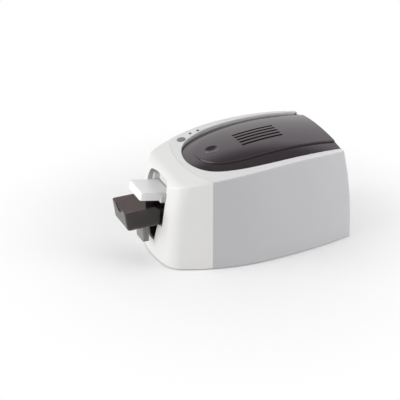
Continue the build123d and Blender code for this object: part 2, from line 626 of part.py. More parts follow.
# ================================================================ frame and mechanism
def side_frame(side, holes):
    """Steel side plate with a foot flange and its bearing holes (y, z, radius)."""
    outline = ((-112, 4.5), (112, 4.5), (112, 150), (-28, 150), (-46, 124), (-112, 124))
    x0, x1 = sorted((side * PLATE_INNER, side * PLATE_OUTER))
    plate = side_plate(outline, x0, x1)
    f0, f1 = sorted((side * PLATE_OUTER, side * (PLATE_OUTER + 10)))
    plate += box(f0, f1, -112, 112, 4.5, 6)
    for y, z, radius in holes:
        plate -= rod_x(y, z, radius, x0 - 1, x1 + 1)
    return plate


BUSH_RADIUS = 5.0
DRIVEN = ("exit", "feed", "platen", "rear", "pick")


def driven_centres():
    """Axles of the driven rollers."""
    return {
        "exit": (EXIT_Y, AXLE_Z),
        "feed": (FEED_ROLLER_Y, AXLE_Z),
        "platen": (PLATEN_Y, AXLE_Z),
        "rear": (REAR_ROLLER_Y, AXLE_Z),
        "pick": pick_centre(),
    }


PINCH = {"cleaning": (FEED_ROLLER_Y, 92.6, 6.0), "exit": (EXIT_Y, 90.1, 3.6), "rear": (REAR_ROLLER_Y, 91.6, 5.0)}
PINCH_SHAFT = 1.5
SPOOL_SHAFT = 3.0
CROSS_BARS = ((-60, 14), (104, 14), (107, 112), (-24, 144))
GUIDE_BARS = ((54.1, 101.3), (13.9, 101.3))
DRIVE_MOTOR = (MIDDLE_IDLER_Y, AXLE_Z - MODULE * (MIDDLE_IDLER_TEETH + PINION_TEETH) / 2)
RIBBON_MOTOR = (TAKE_UP_Y, TAKE_UP_Z - MODULE * (TAKE_UP_TEETH + PINION_TEETH) / 2)


def bearing_holes(side):
    """Holes of one side plate."""
    holes = [(y, z, BUSH_RADIUS) for y, z in driven_centres().values()]
    holes += [(y, z, PINCH_SHAFT + RUNNING_GAP) for y, z, _ in PINCH.values()]
    holes += [(SUPPLY_Y, SUPPLY_Z, SPOOL_SHAFT + RUNNING_GAP), (TAKE_UP_Y, TAKE_UP_Z, SPOOL_SHAFT + RUNNING_GAP)]
    holes += [(HEAD_PIVOT_Y, HEAD_PIVOT_Z, 2.0)]
    if side < 0:
        holes += [(FRONT_IDLER_Y, AXLE_Z, 2.0), (MIDDLE_IDLER_Y, AXLE_Z, 2.0), (REAR_IDLER_Y, AXLE_Z, 2.0)]
        holes += [(*DRIVE_MOTOR, 4.0)]
    else:
        holes += [(*RIBBON_MOTOR, 4.0)]
    return holes


def shaft_bushes():
    """Plain bushes of the driven shafts, pressed into the side plates."""
    bushes = []
    for y, z in driven_centres().values():
        for side in (-1, 1):
            x0, x1 = sorted((side * (PLATE_INNER - 1.2), side * PLATE_OUTER))
            bushes.append(rod_x(y, z, BUSH_RADIUS, x0, x1) - rod_x(y, z, SHAFT_RADIUS + RUNNING_GAP, x0 - 1, x1 + 1))
    return bushes


def fixed_pins():
    """Idler axles, head pivots, the lever pin and the two film guide bars."""
    pins = [rod_x(y, AXLE_Z, 2.0, -GEAR_INNER_X - 9.2, -PLATE_INNER) for y in (FRONT_IDLER_Y,)]
    pins += [rod_x(y, AXLE_Z, 2.0, -GEAR_INNER_X - 4.6, -PLATE_INNER) for y in (MIDDLE_IDLER_Y, REAR_IDLER_Y)]
    for side in (-1, 1):
        x0, x1 = sorted((side * 30, side * PLATE_OUTER))
        pins.append(rod_x(HEAD_PIVOT_Y, HEAD_PIVOT_Z, 2.0, x0, x1))
    pins.append(feeder_plane() * rod_x(LEVER_PIVOT_U, LEVER_PIVOT_W, 1.5, -9.5, 9.5))
    pins += [rod_x(y, z, 2.0, -PLATE_INNER, PLATE_INNER) for y, z in GUIDE_BARS]
    return pins


def frame_cross_bars():
    """Spacer bars between the side plates."""
    return [rod_x(y, z, 3.0, -PLATE_INNER, PLATE_INNER) for y, z in CROSS_BARS]


def card_guides():
    """Lower and upper guide plates of the card path."""
    lower = box(-28, 28, -94, 108, PATH_Z - 2.8, PATH_Z - 1.6)
    for y in (FEED_ROLLER_Y, PLATEN_Y, REAR_ROLLER_Y):
        lower -= box(-29.5, 29.5, y - 8, y + 8, 80, 90)
    pieces = [s for s in lower.solids()]
    pieces += [box(-28, 28, -11, 20, PATH_Z + 2.2, PATH_Z + 3.4), box(-28, 28, 50, 72, PATH_Z + 2.2, PATH_Z + 3.4)]
    result = []
    for piece in pieces:
        bounds = piece.bounding_box()
        y0, y1, z0, z1 = bounds.min.Y, bounds.max.Y, bounds.min.Z, bounds.max.Z
        middle = (y0 + y1) / 2
        for side in (-1, 1):
            x0, x1 = sorted((side * 28, side * PLATE_INNER))
            piece += box(x0, x1, middle - 4, middle + 4, z0, z1)
        result.append(piece)
    return result


def driven_roller(name, left_end):
    """Shaft with its rubber."""
    y, z = driven_centres()[name]
    shaft = rod_x(y, z, SHAFT_RADIUS, left_end, PLATE_OUTER + 2)
    if name == "pick":
        tyres = [rod_x(y, z, 8.4, -10, 10)]
    elif name == "platen":
        tyres = [rod_x(y, z, ROLLER_RADIUS, -29, 29)]
    else:
        tyres = [rod_x(y, z, ROLLER_RADIUS, -24, -8), rod_x(y, z, ROLLER_RADIUS, 8, 24)]
    return [shaft] + [tyre - shaft for tyre in tyres]


def pinch_roller(name, half):
    """Idle roller over a driven one."""
    y, z, radius = PINCH[name]
    return rod_x(y, z, radius, -half, half) + rod_x(y, z, PINCH_SHAFT, -PLATE_OUTER, PLATE_OUTER)


def motor(centre, radius, length, side):
    """Round motor on the inner face of a side plate, with a bore for the pinion shaft."""
    x0, x1 = sorted((side * (PLATE_INNER - length), side * PLATE_INNER))
    can = rod_x(*centre, radius, x0, x1)
    can = chamfer([e for e in can.edges() if abs(abs((e @ 0.5).X) - (PLATE_INNER - length)) < 0.1], 1.2)
    b0, b1 = sorted((side * (PLATE_INNER - 10), side * (PLATE_INNER + 1)))
    return can - rod_x(*centre, 1.5 + RUNNING_GAP, b0, b1)


def pinion(centre, phase, side):
    """Pinion with its motor shaft."""
    x0, x1 = sorted((side * GEAR_INNER_X, side * (GEAR_INNER_X + GEAR_WIDTH)))
    wheel = gear(PINION_TEETH, phase, *centre, x0, x1, 1.0)
    s0, s1 = sorted((side * (PLATE_INNER - 9), side * (GEAR_INNER_X + GEAR_WIDTH)))
    return wheel + rod_x(*centre, 1.5, s0, s1)


def spool(y, z, roll, flange):
    """Ribbon core with two flanges and its shaft, and the film wound on it."""
    core = rod_x(y, z, 7.0, -29, 29)
    for x in (-29, 27.8):
        core += rod_x(y, z, flange, x, x + 1.2)
    shaft = rod_x(y, z, SPOOL_SHAFT, -PLATE_OUTER - 2, PLATE_OUTER + 6)
    film = rod_x(y, z, roll, -27, 27) - rod_x(y, z, 7.0, -28, 28)
    return core + shaft, film


def ribbon_film():
    """Film from the supply roll, under both guide bars and the head, to the take-up roll."""
    route = (
        (SUPPLY_Y - SUPPLY_ROLL - 0.3, SUPPLY_Z),
        (56.2, 99.6),
        (38.5, PATH_Z + 0.2),
        (29.5, PATH_Z + 0.2),
        (11.8, 99.6),
        (TAKE_UP_Y + TAKE_UP_ROLL + 0.3, TAKE_UP_Z),
    )
    strip = trace(Polyline(*route), 0.2)
    return Pos(-26.5, 0, 0) * extrude(Plane.YZ * strip, amount=53)


def head_bracket():
    """Steel arm pair and cross plate that carry the print head."""
    outline = ((28, 97), (40, 97), (40, 113), (66, 113), (71, 120), (66, 125), (28, 121))
    arms = Part()
    for side in (-1, 1):
        x0, x1 = sorted((side * 31, side * 33))
        arms += side_plate(outline, x0, x1)
    bridge = box(-31, 31, 28, 40, 97, 99) + box(-31, 31, 28, 30, 99, 119)
    arm = arms + bridge
    return arm - rod_x(HEAD_PIVOT_Y, HEAD_PIVOT_Z, 2.0 + RUNNING_GAP, -40, 40)


def print_head():
    """Heat sink block with the narrow heating edge below."""
    outline = ((27, 90), (31.5, 86.9), (36.5, 86.9), (41, 90), (41, 97), (27, 97))
    block = side_plate(outline, -28, 28)
    for index in range(6):
        x = -25 + 10 * index
        block -= box(x - 1.5, x + 1.5, 26, 29, 91.5, 98)
    return block


# ================================================================ electronics
def main_board():
    """Main circuit board on the pillars of the base pan."""
    return box(-62, 62, 126, 190, 20, 21.6)


def board_parts():
    """Larger parts on the board."""
    parts = [box(-40, -22, 150, 168, 21.6, 24.2), box(-8, 2, 142, 152, 21.6, 23.6)]
    parts += [box(12, 20, 140, 156, 21.6, 23.6)]
    parts += [rod_z(x, 176, 4.0, 21.6, 34) for x in (-12, 0)]
    parts += [box(-58, -52, 140, 170, 21.6, 29), box(52, 58, 134, 160, 21.6, 29)]
    return parts


SOCKET_FACE_Y = REAR_FLOOR_Y - 0.9


def usb_socket():
    """Square socket with its inner block."""
    shell = box(24, 36, 184, SOCKET_FACE_Y, 21.6, 32.6) - box(25, 35, 190, SOCKET_FACE_Y + 1, 22.6, 31.6)
    return shell + box(27.5, 32.5, 189, SOCKET_FACE_Y - 1.6, 25.6, 28.6)


def dc_inlet():
    """Round power inlet with its centre pin."""
    block = box(48, 57, 184, SOCKET_FACE_Y, 21.6, 32.6)
    block -= Pos(52.5, SOCKET_FACE_Y - 4, 27) * Rot(90, 0, 0) * Cylinder(3.0, 12)
    return block + Pos(52.5, SOCKET_FACE_Y - 5, 27) * Rot(90, 0, 0) * Cylinder(1.0, 10.2)


# ================================================================ write the nodes
keep("front_bezel", front_bezel())
keep("main_casing", main_casing())
keep("rear_panel", rear_panel())
keep("base_pan", base_pan())
keep("rubber_feet", *rubber_feet())
keep("casing_screws", *casing_screws())
keep("top_cover", top_cover())
keep("lid_magnet", lid_magnet())
keep("magnet_plate", magnet_plate())
keep("hinge_brackets", *hinge_brackets())
keep("hinge_pins", *hinge_pins())
keep("control_button", control_button())
keep("button_dome", button_dome())
keep("status_lamps", *status_lamps())
keep("panel_board", panel_board())
keep("card_stack", *card_stack())
keep("card_feeder", card_feeder())
keep("press_lever", press_lever())
keep("output_tray", output_tray())
keep("tray_carrier", tray_carrier())
keep("left_side_frame", side_frame(-1, bearing_holes(-1)))
keep("right_side_frame", side_frame(1, bearing_holes(1)))
keep("frame_cross_bars", *frame_cross_bars())
keep("shaft_bushes", *shaft_bushes())
keep("fixed_pins", *fixed_pins())
keep("card_guides", *card_guides())
keep("head_bracket", head_bracket())
keep("print_head", print_head())
keep("drive_motor", motor(DRIVE_MOTOR, 18.0, 26.0, -1))
keep("ribbon_motor", motor(RIBBON_MOTOR, 9.0, 24.0, 1))
keep("main_board", main_board())
keep("board_parts", *board_parts())
keep("usb_socket", usb_socket())
keep("dc_inlet", dc_inlet())

LAYER_NEAR = (-GEAR_INNER_X - GEAR_WIDTH, -GEAR_INNER_X)
LAYER_FAR = (LAYER_NEAR[0] - GEAR_LAYER, LAYER_NEAR[1] - GEAR_LAYER)
CENTRES = driven_centres()
FRONT_IDLER = (FRONT_IDLER_Y, AXLE_Z)
MIDDLE_IDLER = (MIDDLE_IDLER_Y, AXLE_Z)
REAR_IDLER = (REAR_IDLER_Y, AXLE_Z)
PHASE = {"middle": 0.0}
PHASE["feed"] = meshing_phase(MIDDLE_IDLER_TEETH, 0.0, MIDDLE_IDLER, SMALL_TEETH, CENTRES["feed"])
PHASE["platen"] = meshing_phase(MIDDLE_IDLER_TEETH, 0.0, MIDDLE_IDLER, SMALL_TEETH, CENTRES["platen"])
PHASE["drive"] = meshing_phase(MIDDLE_IDLER_TEETH, 0.0, MIDDLE_IDLER, PINION_TEETH, DRIVE_MOTOR)
PHASE["front"] = meshing_phase(SMALL_TEETH, PHASE["feed"], CENTRES["feed"], FRONT_IDLER_TEETH, FRONT_IDLER)
PHASE["exit"] = meshing_phase(FRONT_IDLER_TEETH, PHASE["front"], FRONT_IDLER, SMALL_TEETH, CENTRES["exit"])
PHASE["pick"] = meshing_phase(FRONT_IDLER_TEETH, PHASE["front"], FRONT_IDLER, PINION_TEETH, CENTRES["pick"])
PHASE["rear_idler"] = meshing_phase(SMALL_TEETH, PHASE["platen"], CENTRES["platen"], REAR_IDLER_TEETH, REAR_IDLER)
PHASE["rear"] = meshing_phase(REAR_IDLER_TEETH, PHASE["rear_idler"], REAR_IDLER, SMALL_TEETH, CENTRES["rear"])
PHASE["ribbon"] = meshing_phase(TAKE_UP_TEETH, 0.0, (TAKE_UP_Y, TAKE_UP_Z), PINION_TEETH, RIBBON_MOTOR)

for roller_name in DRIVEN:
    far = roller_name == "exit"
    layer = LAYER_FAR if far else LAYER_NEAR
    teeth_count = PINION_TEETH if roller_name == "pick" else SMALL_TEETH
    node = f"{roller_name}_roller"
    keep(node, *driven_roller(roller_name, layer[0]))
    keep(f"{roller_name}_gear", gear(teeth_count, PHASE[roller_name], *CENTRES[roller_name], *layer, SHAFT_RADIUS))
IDLER_BORE = 2.0 + RUNNING_GAP
keep("front_idler", gear(FRONT_IDLER_TEETH, PHASE["front"], *FRONT_IDLER, LAYER_FAR[0], LAYER_NEAR[1], IDLER_BORE))
keep("middle_idler", gear(MIDDLE_IDLER_TEETH, PHASE["middle"], *MIDDLE_IDLER, *LAYER_NEAR, IDLER_BORE))
keep("rear_idler", gear(REAR_IDLER_TEETH, PHASE["rear_idler"], *REAR_IDLER, *LAYER_NEAR, IDLER_BORE))
keep("drive_pinion", pinion(DRIVE_MOTOR, PHASE["drive"], -1))
keep("ribbon_pinion", pinion(RIBBON_MOTOR, PHASE["ribbon"], 1))
keep("cleaning_roller", pinch_roller("cleaning", 28))
keep("exit_pinch_roller", pinch_roller("exit", 24))
keep("rear_pinch_roller", pinch_roller("rear", 24))
supply_core, supply_film = spool(SUPPLY_Y, SUPPLY_Z, SUPPLY_ROLL, 18.5)
keep("supply_spool", supply_core)
keep("supply_roll", supply_film)
take_up_core, take_up_film = spool(TAKE_UP_Y, TAKE_UP_Z, TAKE_UP_ROLL, 13.0)
keep("take_up_spool", take_up_core)
keep("take_up_roll", take_up_film)
RIBBON_LAYER = (GEAR_INNER_X, GEAR_INNER_X + GEAR_WIDTH)
keep("take_up_gear", gear(TAKE_UP_TEETH, 0.0, TAKE_UP_Y, TAKE_UP_Z, *RIBBON_LAYER, SPOOL_SHAFT))
keep("ribbon_film", ribbon_film())
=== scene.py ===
"""Looks of a desktop card printer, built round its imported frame.

Metres, +Z up, the nose with feeder and tray towards -Y, +X towards the camera's side.
"""

import json
import logging
import math
from dataclasses import dataclass
from enum import Enum
from typing import Sequence

import bmesh
import bpy
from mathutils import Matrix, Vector


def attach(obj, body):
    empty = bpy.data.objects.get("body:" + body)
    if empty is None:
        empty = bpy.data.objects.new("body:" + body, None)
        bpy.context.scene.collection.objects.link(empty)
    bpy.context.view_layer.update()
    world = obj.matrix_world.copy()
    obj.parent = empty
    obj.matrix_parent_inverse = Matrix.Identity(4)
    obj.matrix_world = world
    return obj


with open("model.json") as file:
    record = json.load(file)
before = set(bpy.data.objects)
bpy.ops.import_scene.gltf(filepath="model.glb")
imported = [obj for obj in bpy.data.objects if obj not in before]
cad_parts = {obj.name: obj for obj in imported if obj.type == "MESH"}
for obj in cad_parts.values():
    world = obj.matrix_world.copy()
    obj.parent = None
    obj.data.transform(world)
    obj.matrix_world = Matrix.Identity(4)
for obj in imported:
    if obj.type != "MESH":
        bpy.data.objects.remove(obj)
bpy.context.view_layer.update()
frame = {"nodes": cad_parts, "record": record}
LOG = logging.getLogger("card_printer")
MM = 0.001
SMOOTH = {"interpolation_type": "SMOOTHSTEP"}
SHARP_ANGLE = math.radians(35.0)
AHEAD_OF_NOSE = -0.4
WHITE = (1.0, 1.0, 1.0, 1.0)
SIDES = ((-1, "left"), (1, "right"))

Colour = tuple[float, float, float]


# ---------------------------------------------------------------- shader graph helper
class Graph:
    """Short-hand for adding and linking nodes in one node tree."""

    def __init__(self, tree: bpy.types.NodeTree) -> None:
        """Wraps a node tree.

        Args:
            tree: The tree that new nodes go into.
        """
        self.tree = tree

    def add(self, kind: str, settings: dict | None = None, **values: object) -> bpy.types.Node:
        """Adds a node.

        Args:
            kind: Node type, such as ShaderNodeMath.
            settings: Properties of the node itself.
            **values: Defaults of its sockets, or sockets to link, by name with underscores for spaces.

        Returns:
            The new node.
        """
        node = self.tree.nodes.new(kind)
        for name, value in (settings or {}).items():
            setattr(node, name, value)
        for name, value in values.items():
            self.feed(node.inputs[name.replace("_", " ")], value)
        return node

    def feed(self, socket: bpy.types.NodeSocket, value: object) -> None:
        """Links a socket into another, or sets its default.

        Args:
            socket: The input to feed.
            value: An output socket, or a plain value.
        """
        if isinstance(value, bpy.types.NodeSocket):
            self.tree.links.new(value, socket)
        else:
            socket.default_value = value

    def maths(self, operation: str, *operands: object) -> bpy.types.NodeSocket:
        """Adds a Math node.

        Args:
            operation: Name of the operation.
            *operands: Sockets or numbers, in order.

        Returns:
            The result socket.
        """
        node = self.add("ShaderNodeMath", {"operation": operation})
        for socket, value in zip(node.inputs, operands):
            self.feed(socket, value)
        return node.outputs[0]

    def blend(self, factor: object, first: object, second: object) -> bpy.types.NodeSocket:
        """Mixes two colours.

        Args:
            factor: Share of the second colour.
            first: Colour or socket.
            second: Colour or socket.

        Returns:
            The mixed colour's socket.
        """
        node = self.add("ShaderNodeMix", {"data_type": "RGBA"})
        self.feed(node.inputs[0], factor)
        self.feed(node.inputs[6], first)
        self.feed(node.inputs[7], second)
        return node.outputs[2]

    def ramp(
        self, value: object, start: object, end: object, low: float = 0.0, high: float = 1.0
    ) -> bpy.types.NodeSocket:
        """Adds a smooth step between two levels.

        Args:
            value: Socket that drives it.
            start: Value, or socket, at which it leaves the low level.
            end: Value, or socket, at which it reaches the high level.
            low: Level before the step.
            high: Level after it.

        Returns:
            The result socket.
        """
        node = self.add("ShaderNodeMapRange", SMOOTH, Value=value, From_Min=start, From_Max=end)
        node.inputs["To Min"].default_value = low
        node.inputs["To Max"].default_value = high
        return node.outputs[0]

    def group(self, tree: bpy.types.NodeTree, **values: object) -> bpy.types.Node:
        """Places a node group.

        Args:
            tree: The group.
            **values: Values of its inputs.

        Returns:
            The group node.
        """
        return self.add("ShaderNodeGroup", {"node_tree": tree}, **values)


class Effects:
    """Node groups that several finishes share. Scales are in repeats per metre."""

    cell_weight: float = 0.6
    cloud_scale: float = 14.0
    smear_scale: float = 32.0
    smear_range: tuple[float, float] = (0.45, 0.75)
    scratch_turn: tuple[float, float, float] = (0.2, 0.4, 0.9)
    scratch_scale: tuple[float, float, float] = (900.0, 14.0, 60.0)
    scratch_range: tuple[float, float] = (0.68, 0.78)
    line_scale: float = 12.0

    def __init__(self) -> None:
        """Builds every group once."""
        self.grain = self._grain()
        self.handling = self._handling()
        self.brushing = self._brushing()
        # The upward and inward masks lay painted light on tops and inner walls.
        self.upward = self._upward()
        self.inward = self._inward()

    @staticmethod
    def _start(
        name: str, inputs: dict[str, float], outputs: Sequence[str]
    ) -> tuple[Graph, dict[str, bpy.types.NodeSocket], bpy.types.Node]:
        """Opens a group with named float sockets.

        Args:
            name: Name of the group.
            inputs: Input names with their defaults.
            outputs: Output names.

        Returns:
            The graph, its input sockets by name, and its output node.
        """
        tree = bpy.data.node_groups.new(name, "ShaderNodeTree")
        for label, default in inputs.items():
            socket = tree.interface.new_socket(label, in_out="INPUT", socket_type="NodeSocketFloat")
            socket.default_value = default
        for label in outputs:
            tree.interface.new_socket(label, in_out="OUTPUT", socket_type="NodeSocketFloat")
        graph = Graph(tree)
        entry = graph.add("NodeGroupInput")
        leave = graph.add("NodeGroupOutput")
        return graph, {label: entry.outputs[label] for label in inputs}, leave

    def _grain(self) -> bpy.types.NodeTree:
        """Fine moulded texture with a faint cloudiness.

        Returns:
            Group with Size and Cloud in, Height and Tone out.
        """
        graph, given, leave = self._start("moulded_grain", {"Size": 0.4, "Cloud": 0.5}, ("Height", "Tone"))
        place = graph.add("ShaderNodeTexCoord").outputs["Object"]
        scale = graph.maths("DIVIDE", 1.0 / MM, given["Size"])
        fine = graph.add("ShaderNodeTexNoise", Vector=place, Scale=scale, Detail=3.0, Roughness=0.6)
        cells = graph.add("ShaderNodeTexVoronoi", {"feature": "SMOOTH_F1"}, Vector=place, Scale=scale)
        height = graph.maths("MULTIPLY_ADD", cells.outputs["Distance"], self.cell_weight, fine.outputs[0])
        broad = graph.add("ShaderNodeTexNoise", Vector=place, Scale=self.cloud_scale, Detail=2.0)
        centred = graph.maths("SUBTRACT", broad.outputs[0], 0.5)
        tone = graph.maths("MULTIPLY_ADD", centred, given["Cloud"], 0.5)
        graph.feed(leave.inputs["Height"], height)
        graph.feed(leave.inputs["Tone"], tone)
        return graph.tree

    def _handling(self) -> bpy.types.NodeTree:
        """Faint smears and hairline scratches from handling.

        Returns:
            Group with Amount in, Smear and Scratch out.
        """
        graph, given, leave = self._start("handling", {"Amount": 0.5}, ("Smear", "Scratch"))
        place = graph.add("ShaderNodeTexCoord").outputs["Object"]
        smear = graph.add(
            "ShaderNodeTexNoise", Vector=place, Scale=self.smear_scale, Detail=5.0, Distortion=1.2
        )
        turned = graph.add(
            "ShaderNodeMapping", Vector=place, Rotation=self.scratch_turn, Scale=self.scratch_scale
        )
        hair = graph.add("ShaderNodeTexNoise", Vector=turned.outputs[0], Scale=1.0, Detail=1.0)
        sources = (("Smear", smear, self.smear_range), ("Scratch", hair, self.scratch_range))
        for label, noise, (low, high) in sources:
            mask = graph.add("ShaderNodeMapRange", Value=noise.outputs[0], From_Min=low, From_Max=high)
            graph.feed(leave.inputs[label], graph.maths("MULTIPLY", mask.outputs[0], given["Amount"]))
        return graph.tree

    def _brushing(self) -> bpy.types.NodeTree:
        """Fine lines along X, as drawn or ground metal has.

        Returns:
            Group with Density in, Lines out.
        """
        graph, given, leave = self._start("brushing", {"Density": 900.0}, ("Lines",))
        place = graph.add("ShaderNodeTexCoord").outputs["Object"]
        wide = graph.add(
            "ShaderNodeCombineXYZ", X=self.line_scale, Y=given["Density"], Z=given["Density"]
        )
        drawn = graph.add("ShaderNodeVectorMath", {"operation": "MULTIPLY"})
        graph.feed(drawn.inputs[0], place)
        graph.feed(drawn.inputs[1], wide.outputs[0])
        lines = graph.add("ShaderNodeTexNoise", Vector=drawn.outputs[0], Scale=1.0, Detail=2.0)
        graph.feed(leave.inputs["Lines"], lines.outputs[0])
        return graph.tree

    def _upward(self) -> bpy.types.NodeTree:
        """Mask of the faces that look up.

        Returns:
            Group with Start and End in, as heights of the unit normal, and Mask out.
        """
        graph, given, leave = self._start("upward", {"Start": 0.5, "End": 0.8}, ("Mask",))
        normal = graph.add("ShaderNodeSeparateXYZ", Vector=graph.add("ShaderNodeTexCoord").outputs["Normal"])
        graph.feed(leave.inputs["Mask"], graph.ramp(normal.outputs["Z"], given["Start"], given["End"]))
        return graph.tree

    def _inward(self) -> bpy.types.NodeTree:
        """Mask of the upright faces that look towards the middle of the object.

        Returns:
            Group with Start and End in, as cosines to the outward direction, and Mask out.
        """
        graph, given, leave = self._start("inward", {"Start": -0.15, "End": -0.5}, ("Mask",))
        source = graph.add("ShaderNodeTexCoord")
        level = graph.add("ShaderNodeVectorMath", {"operation": "MULTIPLY"})
        graph.feed(level.inputs[0], source.outputs["Object"])
        level.inputs[1].default_value = (1.0, 1.0, 0.0)
        outward = graph.add("ShaderNodeVectorMath", {"operation": "NORMALIZE"})
        graph.feed(outward.inputs[0], level.outputs[0])
        along = graph.add("ShaderNodeVectorMath", {"operation": "DOT_PRODUCT"})
        graph.feed(along.inputs[0], outward.outputs[0])
        graph.feed(along.inputs[1], source.outputs["Normal"])
        graph.feed(leave.inputs["Mask"], graph.ramp(along.outputs["Value"], given["Start"], given["End"]))
        return graph.tree


# ---------------------------------------------------------------- finishes
# Mask ranges where the painted light colour goes on tops and on inner walls.
PAINTED_LIGHT_TOPS = (0.45, 0.85)
PAINTED_LIGHT_WALLS = (-0.15, -0.5)


def toned(colour: Colour, factor: float, lift: float = 0.0) -> tuple[float, float, float, float]:
    """Makes a colour lighter or darker.

    Args:
        colour: The colour.
        factor: What each channel is multiplied by.
        lift: What is then added to it.

    Returns:
        The new colour with full opacity, no channel over 1.
    """
    red, green, blue = (min(1.0, factor * channel + lift) for channel in colour)
    return red, green, blue, 1.0


class Grain(Enum):
    """How coarse a moulded surface is: grain size in millimetres and bump height in millimetres."""

    POLISHED = (1.6, 0.002)
    SATIN = (0.7, 0.010)
    SPARKED = (0.55, 0.030)


@dataclass(frozen=True)
class Plastic:
    """Moulded plastic, opaque.

    Painted light colour, where given, is painted on tops and inner walls for the light they catch,
    so the main colour stands for the sides in shade. Tones are what the cloudiness
    multiplies the colour by, and smear is what handling adds to the roughness.
    """

    name: str
    colour: Colour
    roughness: float = 0.45
    grain: Grain = Grain.SATIN
    coat: float = 0.0
    wear: float = 0.3
    painted_light_colour: Colour | None = None
    tones: tuple[float, float] = (0.93, 1.05)
    cloud: float = 0.5
    smear: float = 0.10
    coat_roughness: float = 0.12

    def build(self, effects: Effects) -> bpy.types.Material:
        """Makes the material.

        Args:
            effects: Shared node groups.

        Returns:
            The material.
        """
        material, graph, surface = open_material(self.name)
        size, height = self.grain.value
        grain = graph.group(effects.grain, Size=size, Cloud=self.cloud)
        handled = graph.group(effects.handling, Amount=self.wear)
        darker, brighter = (toned(self.colour, factor) for factor in self.tones)
        tone = graph.blend(grain.outputs["Tone"], darker, brighter)
        # Painted light: tops and inner walls take the lighter colour for the light they catch.
        if self.painted_light_colour:
            tops = graph.group(effects.upward, Start=PAINTED_LIGHT_TOPS[0], End=PAINTED_LIGHT_TOPS[1])
            walls = graph.group(effects.inward, Start=PAINTED_LIGHT_WALLS[0], End=PAINTED_LIGHT_WALLS[1])
            mask = graph.maths("MAXIMUM", tops.outputs["Mask"], walls.outputs["Mask"])
            tone = graph.blend(mask, tone, self.painted_light_colour + (1.0,))
        graph.feed(surface.inputs["Base Color"], tone)
        rough = graph.maths("MULTIPLY_ADD", handled.outputs["Smear"], self.smear, self.roughness)
        graph.feed(surface.inputs["Roughness"], rough)
        surface.inputs["Coat Weight"].default_value = self.coat
        surface.inputs["Coat Roughness"].default_value = self.coat_roughness
        bump = graph.add("ShaderNodeBump", Strength=1.0, Distance=height * MM, Height=grain.outputs["Height"])
        graph.feed(surface.inputs["Normal"], bump.outputs[0])
        return material


@dataclass(frozen=True)
class Smoked:
    """Glossy smoked plastic that lets a little light through. Sheen tints what it mirrors."""

    name: str
    colour: Colour
    clarity: float = 0.3
    roughness: float = 0.07
    ior: float = 1.4
    sheen: Colour = (1.0, 1.0, 1.0)
    tones: tuple[float, float] = (0.85, 1.1)
    grain: float = 2.4
    cloud: float = 0.4
    handling: float = 0.5
    smear: float = 0.10
    scratch: float = 0.12
    height: float = 0.004

    def build(self, effects: Effects) -> bpy.types.Material:
        """Makes the material.

        Args:
            effects: Shared node groups.

        Returns:
            The material.
        """
        material, graph, surface = open_material(self.name)
        handled = graph.group(effects.handling, Amount=self.handling)
        grain = graph.group(effects.grain, Size=self.grain, Cloud=self.cloud)
        deep, full = (toned(self.colour, factor) for factor in self.tones)
        graph.feed(surface.inputs["Base Color"], graph.blend(grain.outputs["Tone"], deep, full))
        smeared = graph.maths("MULTIPLY_ADD", handled.outputs["Smear"], self.smear, self.roughness)
        rough = graph.maths("MULTIPLY_ADD", handled.outputs["Scratch"], self.scratch, smeared)
        graph.feed(surface.inputs["Roughness"], rough)
        surface.inputs["IOR"].default_value = self.ior
        surface.inputs["Transmission Weight"].default_value = self.clarity
        surface.inputs["Specular Tint"].default_value = self.sheen + (1.0,)
        relief = grain.outputs["Height"]
        bump = graph.add("ShaderNodeBump", Strength=0.5, Distance=self.height * MM, Height=relief)
        graph.feed(surface.inputs["Normal"], bump.outputs[0])
        return material


@dataclass(frozen=True)
class Metal:
    """Bare or plated metal with drawn lines."""

    name: str
    colour: Colour
    roughness: float = 0.3
    lines: float = 0.15
    density: float = 900.0
    tones: tuple[float, float] = (0.82, 1.0)
    handling: float = 0.6
    smear: float = 0.15
    height: float = 0.006

    def build(self, effects: Effects) -> bpy.types.Material:
        """Makes the material.

        Args:
            effects: Shared node groups.

        Returns:
            The material.
        """
        material, graph, surface = open_material(self.name)
        brushed = graph.group(effects.brushing, Density=self.density)
        handled = graph.group(effects.handling, Amount=self.handling)
        relief = brushed.outputs["Lines"]
        dull, full = (toned(self.colour, factor) for factor in self.tones)
        graph.feed(surface.inputs["Base Color"], graph.blend(relief, dull, full))
        lined = graph.maths("MULTIPLY_ADD", relief, self.lines, self.roughness)
        rough = graph.maths("MULTIPLY_ADD", handled.outputs["Smear"], self.smear, lined)
        graph.feed(surface.inputs["Roughness"], rough)
        surface.inputs["Metallic"].default_value = 1.0
        bump = graph.add("ShaderNodeBump", Strength=0.6, Distance=self.height * MM, Height=relief)
        graph.feed(surface.inputs["Normal"], bump.outputs[0])
        return material


@dataclass(frozen=True)
class Rubber:
    """Dull rubber with a ground surface."""

    name: str
    colour: Colour
    roughness: float = 0.75
    tones: tuple[float, float] = (0.75, 1.35)
    dust: float = 0.01
    grain: float = 0.5
    cloud: float = 0.8
    height: float = 0.03

    def build(self, effects: Effects) -> bpy.types.Material:
        """Makes the material.

        Args:
            effects: Shared node groups.

        Returns:
            The material.
        """
        material, graph, surface = open_material(self.name)
        grain = graph.group(effects.grain, Size=self.grain, Cloud=self.cloud)
        dull = toned(self.colour, self.tones[0])
        dusty = toned(self.colour, self.tones[1], self.dust)
        graph.feed(surface.inputs["Base Color"], graph.blend(grain.outputs["Tone"], dull, dusty))
        surface.inputs["Roughness"].default_value = self.roughness
        relief = grain.outputs["Height"]
        bump = graph.add("ShaderNodeBump", Strength=1.0, Distance=self.height * MM, Height=relief)
        graph.feed(surface.inputs["Normal"], bump.outputs[0])
        return material


Finish = Plastic | Smoked | Metal | Rubber


def open_material(name: str) -> tuple[bpy.types.Material, Graph, bpy.types.Node]:
    """Starts a material.

    Args:
        name: Its name.

    Returns:
        The material, its graph and its Principled node.
    """
    material = bpy.data.materials.new(name)
    material.use_nodes = True
    surface = material.node_tree.nodes["Principled BSDF"]
    return material, Graph(material.node_tree), surface


